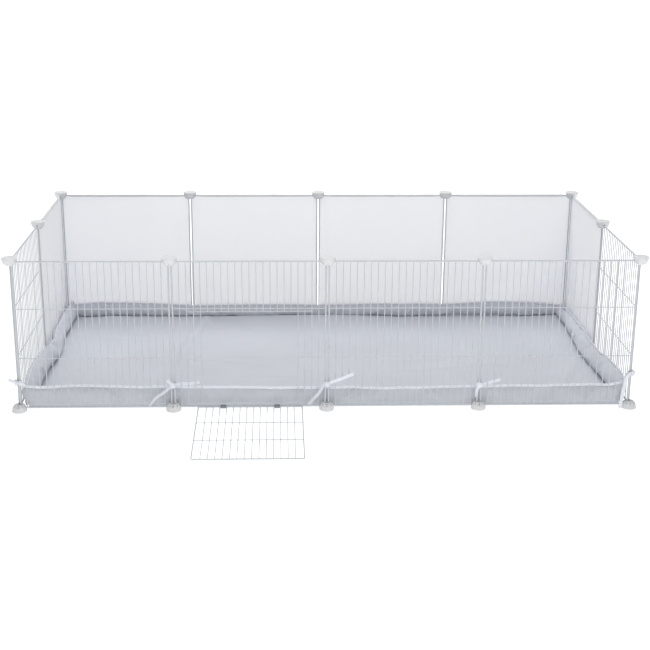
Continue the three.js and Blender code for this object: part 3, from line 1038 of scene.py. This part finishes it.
RIBBON_OUTLINE = [
    (-1, 0), (-0.93, 1), (-0.4, 1), (0.4, 1), (0.93, 1),
    (1, 0), (0.93, -1), (0.4, -1), (-0.4, -1), (-0.93, -1),
]


def ribbon_mesh(name, path, start_across, turns=(0, 0), width=TIE_WIDTH, closed=False):
    """A flat ribbon along path, its width along start_across or, if that is None, at right
    angles to Y. turns are how far it is turned about its length at its ends, in degrees."""
    count = len(path)
    points = []
    for i, at in enumerate(path):
        before, after = path[max(i - 1, 0)], path[min(i + 1, count - 1)]
        if closed:
            before, after = path[i - 1], path[(i + 1) % count]
        along = (Vector(after) - Vector(before)).normalized()
        across = Vector(start_across) if start_across else along.cross(Vector((0, 1, 0)))
        across = (across - along * across.dot(along)).normalized()
        turn = math.radians(turns[0] + (turns[1] - turns[0]) * i / (count - 1))
        across = Matrix.Rotation(turn, 3, along) @ across
        face = along.cross(across)
        for u, v in RIBBON_OUTLINE:
            points.append(Vector(at) + across * (u * width / 2) + face * (v * TIE_THICKNESS / 2))
    return mesh_of(name, points, tube_faces(count, len(RIBBON_OUTLINE), closed), 50)


def loop_turn(inset):
    """The ribbon's path round the wires at a post, in the tie's own frame."""
    half_x, half_y = LOOP_HALF
    path = []
    for k in range(LOOP_POINTS):
        across, out = math.cos(k / LOOP_POINTS * math.tau), math.sin(k / LOOP_POINTS * math.tau)
        path.append((half_x * squared(across), inset + half_y * squared(out), LOOP_SLANT * across))
    return path


KNOT_POINTS = 20
KNOT_DEPTH = 0.0026  # half the depth of a turn of ribbon in a knot
# The turns of ribbon in a knot: tilt, size, shift along the ribbon and width.
KNOT_TURNS = [(0.5, 0.0070, -0.0010, 0.0084), (-0.7, 0.0064, 0.0012, 0.0080), (1.5, 0.0052, 0.0, 0.0076)]


def knot_turn(inset, tilt, size, shift):
    direction = Vector((math.cos(tilt), 0, math.sin(tilt)))
    normal = Vector((-math.sin(tilt), 0, math.cos(tilt)))
    middle = Vector((0, inset - KNOT_OUT, 0)) + direction * shift
    path = []
    for k in range(KNOT_POINTS):
        angle = k / KNOT_POINTS * math.tau
        deep = Vector((0, KNOT_DEPTH * math.sin(angle), 0))
        path.append(middle + normal * (size * math.cos(angle)) + deep)
    return path, tuple(direction)


def knot_mesh(name, inset, matrix):
    """The loop round the post's wires and the knot in front of it, wound from turns of ribbon."""
    turns = [(loop_turn(inset), (0, 0, 1), TIE_WIDTH)]
    turns += [(*knot_turn(inset, *turn[:3]), turn[3]) for turn in KNOT_TURNS]
    wound = bmesh.new()
    for path, across, width in turns:
        data = ribbon_mesh("turn", path, across, width=width, closed=True)
        wound.from_mesh(data)
        bpy.data.meshes.remove(data)
    wound.transform(matrix)
    mesh = bpy.data.meshes.new(name)
    wound.to_mesh(mesh)
    wound.free()
    return smooth(mesh, 50)


def add_tie(name, spec, tape):
    (x, y), turn, height, ends = spec
    inset = CORNER_INSET if turn else 0
    matrix = Matrix.Translation((0, 0, height * MM)) @ Matrix.Rotation(math.radians(turn), 4, "Z")
    knot_at = matrix @ Vector((0, inset - KNOT_OUT, 0)) / MM
    node_name = f"tie_{name}"
    post = Matrix.Translation((x, y, 0))
    knot = add_object(f"knot_{name}", knot_mesh(f"knot_{name}", inset, matrix), tape, post)
    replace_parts(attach(knot, "root"), node_name)
    for i, ((start, *rest), *turns) in enumerate(ends, 1):
        path = rounded([start or tuple(knot_at), *rest], 6) * MM
        data = ribbon_mesh(f"ribbon_{name}_{i}", path, None, turns)
        ribbon = add_object(f"ribbon_{name}_{i}", data, tape, post)
        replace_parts(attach(ribbon, "root"), node_name)


def add_ties(tape):
    for name, spec in TIES.items():
        add_tie(name, spec, tape)


# ---- Stage ----

STAGE_GREY = 0.6
STAGE_GLOW = 0.76
STAGE_HALF = 60
STAGE_DROP = 0.0002  # below the pen's feet
WORLD_STRENGTH = 0.45
KEY_LIGHT = ((-0.2, 0.9, 3.0), 1.8, 62)  # place, size, and power in watts
FILL_LIGHT = ((0.3, -3.2, 1.6), 2.5, 24)


def add_light(name, at, size, power, aim=(0, 0, 0.1)):
    data = bpy.data.lights.new(name, "AREA")
    data.size = size
    data.energy = power
    light = bpy.data.objects.new(name, data)
    light.location = at
    light.rotation_euler = (Vector(aim) - Vector(at)).to_track_quat("-Z", "Y").to_euler()
    bpy.context.scene.collection.objects.link(light)


def add_stage():
    material = new_material("pale_floor", 0.9)
    shader = material.node_tree.nodes["Principled BSDF"]
    shader.inputs["Base Color"].default_value = (STAGE_GREY, STAGE_GREY, STAGE_GREY, 1)
    shader.inputs["Emission Color"].default_value = (1, 1, 1, 1)
    shader.inputs["Emission Strength"].default_value = STAGE_GLOW
    built = bmesh.new()
    bmesh.ops.create_grid(built, x_segments=1, y_segments=1, size=STAGE_HALF)
    mesh = bpy.data.meshes.new("floor")
    built.to_mesh(mesh)
    built.free()
    add_object("floor", mesh, material, Matrix.Translation((0, 0, -STAGE_DROP)))

    world = bpy.data.worlds.new("studio")
    world.use_nodes = True
    background = world.node_tree.nodes["Background"]
    background.inputs["Color"].default_value = (1, 1, 1, 1)
    background.inputs["Strength"].default_value = WORLD_STRENGTH
    bpy.context.scene.world = world
    add_light("key", *KEY_LIGHT)
    add_light("fill", *FILL_LIGHT)
    bpy.context.scene.view_settings.view_transform = "Standard"


add_camera()
ribbon_tape = woven_tape("ribbon_tape", (0.72, 0.74, 0.80), (0.80, 0.82, 0.87))
add_ties(ribbon_tape)
coat = powder_coat()
add_panels(coat, frosted_plastic())
add_door(coat, clip_steel())
add_connectors(moulded_plastic())
fabric = padded_fabric()
add_floor_pad(fabric)
add_binding(add_walls(fabric), ribbon_tape)
add_stage()
